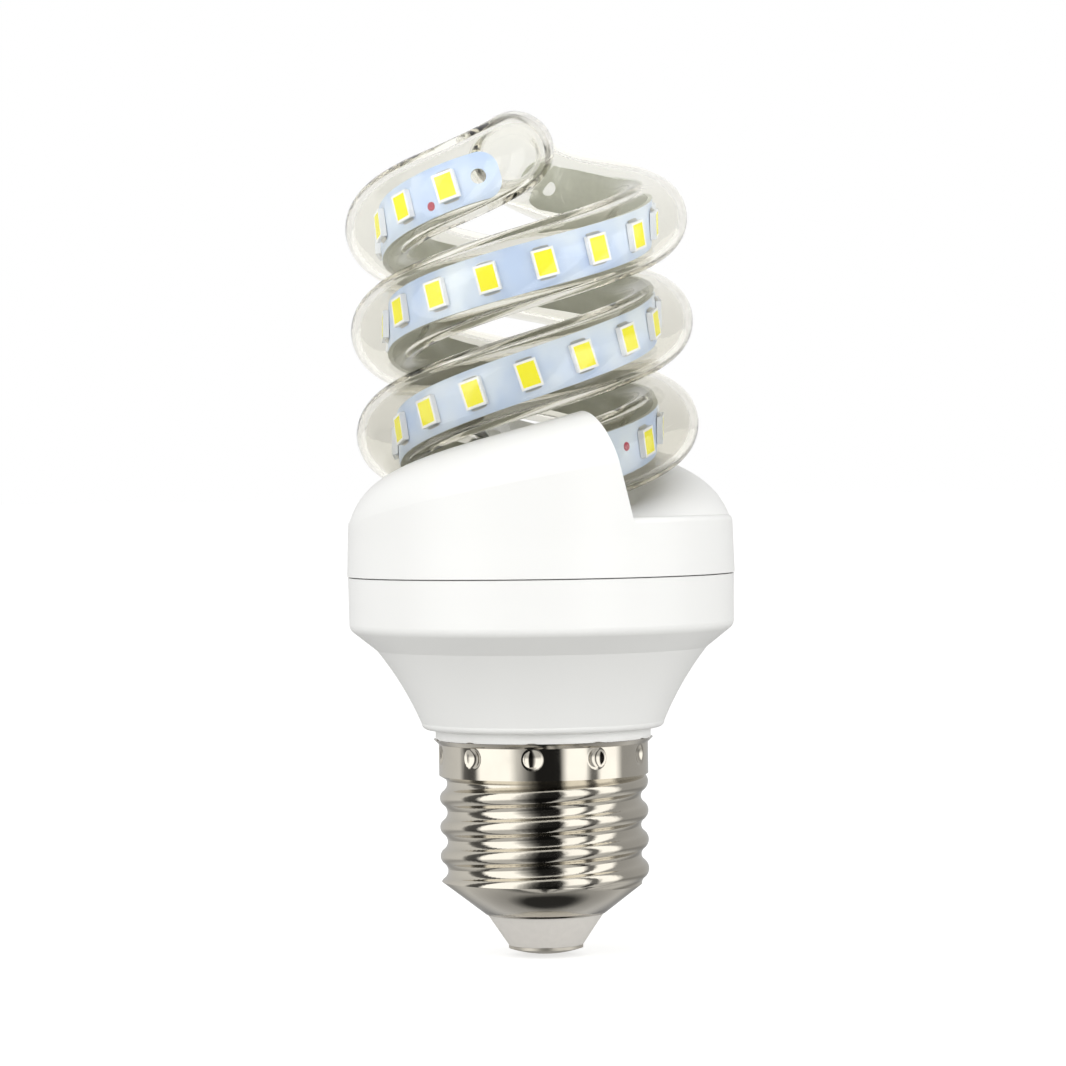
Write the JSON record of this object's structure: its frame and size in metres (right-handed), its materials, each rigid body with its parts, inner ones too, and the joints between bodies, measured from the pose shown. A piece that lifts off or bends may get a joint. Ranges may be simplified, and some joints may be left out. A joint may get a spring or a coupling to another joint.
{
  "type": "spiral led bulb",
  "caption": "LED bulb: a clear glass double-helix tube with LED boards inside, set in the hoods of a white cap over a flared housing with a nickel-plated E27 screw cap.",
  "frame": {"origin": "on the lamp's axis, at the tip of the centre contact", "axes": "+Z along the lamp's axis from the screw cap to the glass, front towards -Y"},
  "size_m": [0.0484, 0.0484, 0.1052],
  "materials": {
    "clear_glass": "clear, smooth",
    "white_plastic": "smooth moulded, soft gloss",
    "nickel_plate": "polished nickel plate",
    "insulator_plastic": "matt",
    "white_solder_mask": "satin white mask on aluminium",
    "led_frame": "matt white",
    "yellow_phosphor": "glossy resin",
    "white_silicone": "soft, matt",
    "white_wire": "smooth sleeve",
    "red_wire": "smooth sleeve",
    "black_wire": "smooth sleeve",
    "glass_epoxy": "green mask",
    "black_sleeve": "shrink sleeve",
    "black_epoxy": "moulded epoxy",
    "ferrite": "matt dark grey",
    "copper_wire": "enamelled copper",
    "yellow_film": "dipped resin",
    "resistor_coat": "matt coat"
  },
  "bodies": {
    "root": {"spiral_tube": "clear_glass", "upper_cap": "white_plastic", "lower_housing": "white_plastic", "screw_shell": "nickel_plate", "centre_contact": "nickel_plate", "cap_insulator": "insulator_plastic", "led_strip_1": "white_solder_mask", "led_strip_2": "white_solder_mask", "led_packages_1": "led_frame", "led_packages_2": "led_frame", "led_phosphors_1": "yellow_phosphor", "led_phosphors_2": "yellow_phosphor", "tube_seal_1": "white_silicone", "tube_seal_2": "white_silicone", "strip_leads_1": "white_wire", "strip_leads_2": "white_wire", "live_lead": "red_wire", "neutral_lead": "black_wire", "driver_board": "glass_epoxy", "bulk_capacitor": "black_sleeve", "bridge_rectifier": "black_epoxy", "driver_chip": "black_epoxy", "output_diode": "black_epoxy", "choke_core": "ferrite", "choke_winding": "copper_wire", "film_capacitor": "yellow_film", "fuse_resistor": "resistor_coat", "chip_resistors": "black_epoxy"}
  },
  "joints": []
}
